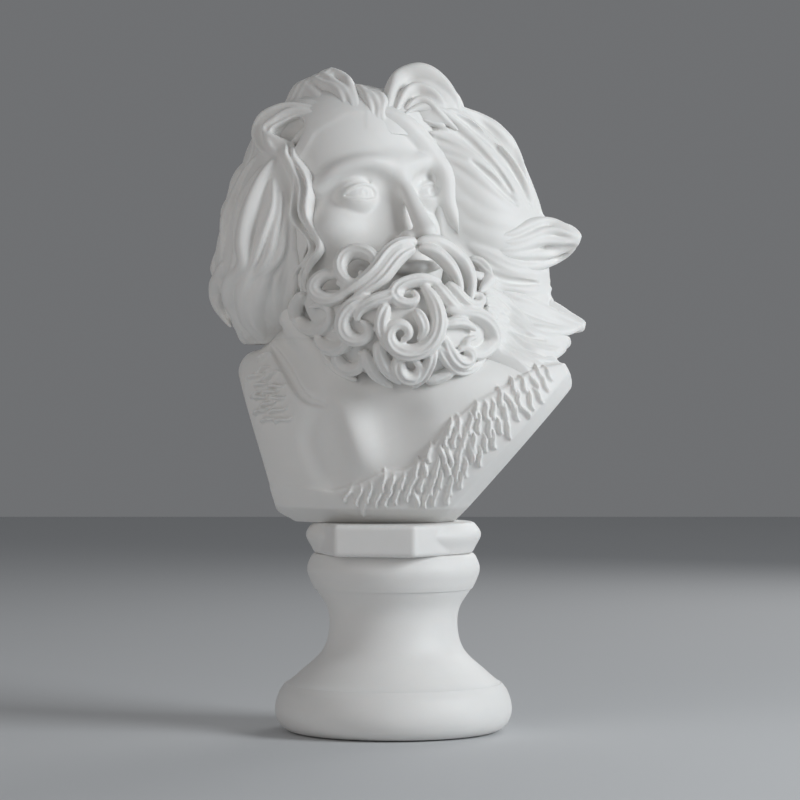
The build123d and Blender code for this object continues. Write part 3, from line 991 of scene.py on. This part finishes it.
# The flying locks' bodies: points along each, its half width and its height.
BUNDLES = {
    "flying_lock_upper": ([(66, 20, 366), (92, 16, 370), (116, 12, 377), (132, 8, 379), (143, 5, 375)],
                          17, 13),
    "flying_lock_lower": ([(66, 18, 330), (92, 12, 324), (116, 8, 318), (134, 6, 312), (147, 4, 309)],
                          15, 11),
}


def bundle(node):
    """A flying lock's body: one thick lock that grows out of the hair."""
    line, width, height = BUNDLES[node]
    path = curve(line)
    up = np.repeat([[0.1, -1.0, 0.15]], len(path), 0)
    return lock_mesh(path, up, width, height, 5, root=0.8, tip=0.25, groove=0.3)


def flow_locks(clay, guide, count, azimuths, elevations, width, seed, drift):
    """Long wavy locks that fall from the crown over the sides and back, and drift as they fall."""
    rng = np.random.default_rng(seed)
    for azimuth in np.linspace(*azimuths, count):
        top = elevations[0] + rng.uniform(-6, 6)
        low = elevations[1] + rng.uniform(-9, 9)
        phase = rng.uniform(0, 2 * math.pi)
        swing = rng.uniform(4, 8)
        steps = np.linspace(0, 1, 7)
        points = [around(guide, azimuth + drift * t + swing * math.sin(phase + 5 * t) * (0.4 + t),
                         top + (low - top) * t) for t in steps]
        size = width * rng.uniform(0.8, 1.25)
        lay_lock(clay, guide, curve(points), size, size * 0.85, int(rng.integers(2, 4)), lift=-1.5)


def hair(mass, material):
    """The eight hair castings."""
    for node, fans, locks, overlap in (
            ("hair_left", LEFT_FANS, LEFT_LOCKS, OVERLAP),
            ("hair_right", RIGHT_FANS, RIGHT_LOCKS, OVERLAP),
            ("hair_back", [], [], 6),
            ("hair_crown", CROWN_FANS, CROWN_LOCKS, OVERLAP),
            ("crown_lock_left", TUFT_LEFT_FANS, [], 8),
            ("crown_lock_right", [], TUFT_RIGHT_LOCKS, 4),
            ("flying_lock_upper", UPPER_FANS, [], -4),
            ("flying_lock_lower", LOWER_FANS, [], -4)):
        hair_piece(node, mass, fans, locks, overlap, material)


# Beard and moustache locks: (line, half width, height, strands), lines as (x, z) seen from the front.
BEARD_LOCKS = [
    ([(-22, 292), (-18, 281), (-10, 271), (0, 264)], 5, 6, 2),
    ([(-12, 298), (-10, 287), (-4, 277), (6, 267)], 5.5, 7, 2),
    ([(-56, 296), (-49, 286), (-39, 275), (-27, 268)], 5, 6, 2),
    ([(30, 294), (28, 283), (22, 273), (13, 263)], 5, 7, 2),
    ([(24, 268), (34, 271), (44, 276), (52, 284)], 4.5, 5, 2),
    ([(-44, 292), (-41, 283), (-33, 277), (-25, 278), (-21, 285), (-26, 291)], 5, 6, 2),
    ([(8, 290), (3, 283), (5, 275), (12, 270), (20, 273), (21, 280), (15, 284)], 5.5, 7, 2),
    ([(34, 294), (41, 284), (50, 277), (61, 278), (69, 286)], 5.5, 6, 2),
    ([(70, 322), (76, 311), (76, 300), (72, 290)], 5, 5, 2),
    ([(-58, 303), (-53, 296), (-44, 292), (-35, 295), (-32, 303), (-38, 308), (-46, 306)], 5, 7, 2),
    ([(38, 302), (41, 291), (48, 283), (56, 283), (59, 290), (54, 295), (49, 291)], 5, 7, 2),
    ([(-4, 326), (-9, 315), (-8, 303), (-3, 293)], 5.5, 7, 2),
    ([(-68, 334), (-74, 325), (-72, 315), (-64, 308), (-54, 307), (-47, 313), (-47, 322),
      (-55, 327), (-63, 324)], 5.5, 7, 3),
    ([(40, 323), (48, 319), (57, 320), (67, 316), (73, 308), (74, 298), (68, 290), (59, 288),
      (53, 293), (55, 300), (62, 301)], 5.5, 8, 3),
    ([(38, 310), (47, 313), (56, 311), (62, 306)], 4.5, 6, 2),
    ([(-42, 347), (-50, 349), (-58, 343), (-60, 336), (-55, 330), (-45, 329), (-37, 333),
      (-36, 340), (-43, 342)], 5.5, 7, 3),
    ([(-16, 330), (-27, 328), (-36, 321), (-39, 311), (-35, 302), (-26, 298), (-18, 302),
      (-18, 310), (-25, 313)], 6, 8, 3),
    ([(22, 340), (30, 329), (34, 317), (33, 304), (26, 294), (14, 289), (3, 291), (-4, 299),
      (-3, 308), (5, 312), (12, 308), (12, 301), (6, 299)], 6.5, 9, 3),
    ([(16, 322), (22, 314), (24, 305), (18, 299)], 4.5, 7, 2),
    ([(66, 338), (73, 330), (75, 321), (72, 312)], 5, 5, 2),
    ([(30, 342), (37, 334), (43, 326), (51, 320), (59, 323)], 5, 7, 2),
    ([(40, 342), (47, 334), (53, 327), (60, 323), (66, 327), (64, 333), (59, 332)], 4.5, 7, 2),
    ([(8, 336), (-5, 331), (-16, 328), (-26, 321), (-28, 313)], 5.5, 8, 2),
    ([(36, 341), (25, 344), (12, 343), (3, 339), (-1, 333), (5, 327), (14, 326), (19, 331),
      (14, 336)], 5, 8, 2),
    ([(57, 360), (65, 360), (71, 352), (71, 342), (65, 335)], 5, 6, 2),
    ([(-14, 350), (-12, 358), (-18, 364), (-28, 366), (-37, 362), (-41, 353), (-38, 345),
      (-30, 340), (-23, 344), (-25, 351)], 5.5, 8, 3),
    ([(16, 368), (5, 362), (-3, 352), (-9, 344), (-20, 337), (-32, 329)], 5.5, 8, 2),
    ([(17, 373), (6, 371), (-5, 363), (-12, 352), (-20, 345), (-31, 338), (-42, 330)], 6, 9, 3),
    ([(19, 368), (30, 366), (38, 359), (45, 350), (50, 341), (51, 332)], 5, 7, 2),
    ([(18, 373), (29, 373), (40, 368), (49, 360), (56, 351), (59, 340), (58, 329)], 5.5, 8, 3),
]
# The core that the locks lie on stands this far inside the CAD node, and stops at this height.
BEARD_CORE_INSET = 4.5
BEARD_CORE_TOP = 334


def beard(mass, material):
    """The beard and moustache: curled locks laid on a smooth core."""
    clay = block_for(["beard"], 0.85, 12)
    clay.node("beard", grow=-BEARD_CORE_INSET, reach=8)
    z = clay.everywhere()[2]
    clay.d = np.maximum(clay.d, z - BEARD_CORE_TOP)
    clay.soften(2)
    for line, width, height, strands in BEARD_LOCKS:
        front_lock(clay, mass, line, width, height, strands, lift=1.6, blend=0.7, root=0.35, tip=0.3,
                   groove=0.5)
    clay.soften(1)
    clay.cast_piece("beard_casting", "beard", material)


# ---------------------------------------------------------------- materials

def node_material(name):
    """A new material, with its node tree and its shader."""
    material = bpy.data.materials.new(name)
    material.use_nodes = True
    return material, material.node_tree, material.node_tree.nodes["Principled BSDF"]


def add(tree, kind, **inputs):
    """A new node with some of its inputs set."""
    node = tree.nodes.new(kind)
    for key, value in inputs.items():
        node.inputs[key.replace("_", " ")].default_value = value
    return node


def noise(tree, scale, detail, roughness=0.5):
    """Noise that is fixed to the piece."""
    place = tree.nodes.new("ShaderNodeTexCoord")
    texture = add(tree, "ShaderNodeTexNoise", Scale=scale, Detail=detail, Roughness=roughness)
    tree.links.new(place.outputs["Object"], texture.inputs["Vector"])
    return texture.outputs["Fac"]


def tone(tree, shader, source, dark, light, ends=(0.0, 1.0)):
    """Colours the shader from dark to light as the source goes from one end to the other."""
    ramp = tree.nodes.new("ShaderNodeValToRGB")
    for stop, position, colour in zip(ramp.color_ramp.elements, ends, (dark, light)):
        stop.position = position
        stop.color = colour
    tree.links.new(source, ramp.inputs["Fac"])
    tree.links.new(ramp.outputs["Color"], shader.inputs["Base Color"])


def gloss(tree, shader, source, low, high):
    """Varies the shader's roughness with the source."""
    rough = add(tree, "ShaderNodeMapRange", To_Min=low, To_Max=high)
    tree.links.new(source, rough.inputs["Value"])
    tree.links.new(rough.outputs["Result"], shader.inputs["Roughness"])


def relief(tree, shader, source, strength):
    """Gives the shader a fine bump of 0.4 mm at most."""
    bump = add(tree, "ShaderNodeBump", Strength=strength, Distance=0.0004)
    tree.links.new(source, bump.inputs["Height"])
    tree.links.new(bump.outputs["Normal"], shader.inputs["Normal"])


def stone(name, light, dark):
    """Fine-grained white cast stone: cloudy tone and gloss, and a soft grain."""
    material, tree, shader = node_material(name)
    clouds = noise(tree, 9.0, 6.0, 0.6)
    tone(tree, shader, clouds, dark, light, (0.3, 0.7))
    gloss(tree, shader, clouds, 0.46, 0.62)
    relief(tree, shader, noise(tree, 900.0, 3.0, 0.6), 0.12)
    shader.inputs["Subsurface Weight"].default_value = 0.12
    shader.inputs["Subsurface Radius"].default_value = (0.004, 0.003, 0.0025)
    shader.inputs["Subsurface Scale"].default_value = 1.0
    return material


def steel(name):
    """Zinc-plated steel with faint uneven gloss."""
    material, tree, shader = node_material(name)
    gloss(tree, shader, noise(tree, 400.0, 2.0), 0.28, 0.42)
    shader.inputs["Base Color"].default_value = (0.55, 0.55, 0.56, 1)
    shader.inputs["Metallic"].default_value = 1.0
    return material


def felt(name):
    """Dark felt with fine fibres."""
    material, tree, shader = node_material(name)
    fibres = noise(tree, 1200.0, 4.0)
    tone(tree, shader, fibres, (0.05, 0.055, 0.05, 1), (0.12, 0.13, 0.12, 1))
    relief(tree, shader, fibres, 0.5)
    shader.inputs["Roughness"].default_value = 0.95
    return material


# ---------------------------------------------------------------- stage

def stage(floor_material):
    """The floor under the bust."""
    bpy.ops.mesh.primitive_plane_add(size=6, location=(0, 1.2, 0))
    floor = bpy.context.object
    floor.name = "floor"
    floor.data.materials.append(floor_material)


def area_light(name, at, aim, size, power, colour):
    data = bpy.data.lights.new(name, "AREA")
    data.size = size
    data.energy = power
    data.color = colour
    light = bpy.data.objects.new(name, data)
    bpy.context.scene.collection.objects.link(light)
    light.location = at
    light.rotation_euler = (Vector(aim) - Vector(at)).to_track_quat("-Z", "Y").to_euler()


def camera():
    """A long lens level with the chest."""
    data = bpy.data.cameras.new("camera")
    data.lens = 135
    data.sensor_width = 36
    cam = bpy.data.objects.new("camera", data)
    bpy.context.scene.collection.objects.link(cam)
    cam.location = VIEWER * MM
    cam.rotation_euler = (math.radians(90), 0, 0)
    data.clip_start, data.clip_end = 0.1, 20
    bpy.context.scene.camera = cam


def light_world():
    """A weak even light from all round."""
    world = bpy.data.worlds.new("world")
    world.use_nodes = True
    background = world.node_tree.nodes["Background"]
    background.inputs["Color"].default_value = (0.8, 0.82, 0.85, 1)
    background.inputs["Strength"].default_value = 0.2
    bpy.context.scene.world = world
    bpy.context.scene.view_settings.view_transform = "Standard"


def floor_paint():
    """A pale matte floor, very slightly cloudy."""
    material, tree, shader = node_material("pale_floor")
    clouds = add(tree, "ShaderNodeTexNoise", Scale=3.0, Detail=4.0)
    tone(tree, shader, clouds.outputs["Fac"], (0.60, 0.61, 0.62, 1), (0.66, 0.67, 0.68, 1))
    shader.inputs["Roughness"].default_value = 0.8
    return material


def lights():
    """A large cool key from the upper right, a weak warm fill, and a soft light from behind."""
    area_light("key", (1.75, -0.9, 1.0), (0, 0, 0.3), 0.9, 29, (0.93, 0.97, 1.0))
    area_light("fill", (-1.5, -1.7, 0.8), (0, 0, 0.3), 1.8, 10, (1.0, 0.965, 0.94))
    area_light("rim", (0.9, 1.6, 1.2), (0, 0, 0.35), 1.0, 7, (1, 1, 1))


# ---------------------------------------------------------------- assembly

def paint(node, material):
    """Gives a CAD node its material."""
    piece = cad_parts[node]
    piece.data.materials.clear()
    piece.data.materials.append(material)


def build():
    bust_stone = stone("bust_stone", (0.86, 0.85, 0.83, 1), (0.80, 0.79, 0.77, 1))
    socle_stone = stone("socle_stone", (0.86, 0.85, 0.83, 1), (0.79, 0.78, 0.765, 1))
    rod_steel = steel("zinc_steel")
    foot_felt = felt("dark_felt")

    guide, bowl = hair_mass()
    body = torso()
    head(body, guide, bowl, bust_stone)
    chest(body, bust_stone)
    plinth(socle_stone)
    beard(guide, bust_stone)
    hair(guide, bust_stone)

    for node in ("socle_base", "socle_waist", "socle_cap"):
        paint(node, socle_stone)
    for node in ("threaded_rod", "rod_anchor", "rod_washer", "spring_washer", "rod_nut",
                 "locating_pins", "neck_dowel", "lock_pins"):
        paint(node, rod_steel)
    paint("felt_ring", foot_felt)

    stage(floor_paint())
    light_world()
    lights()
    camera()


build()
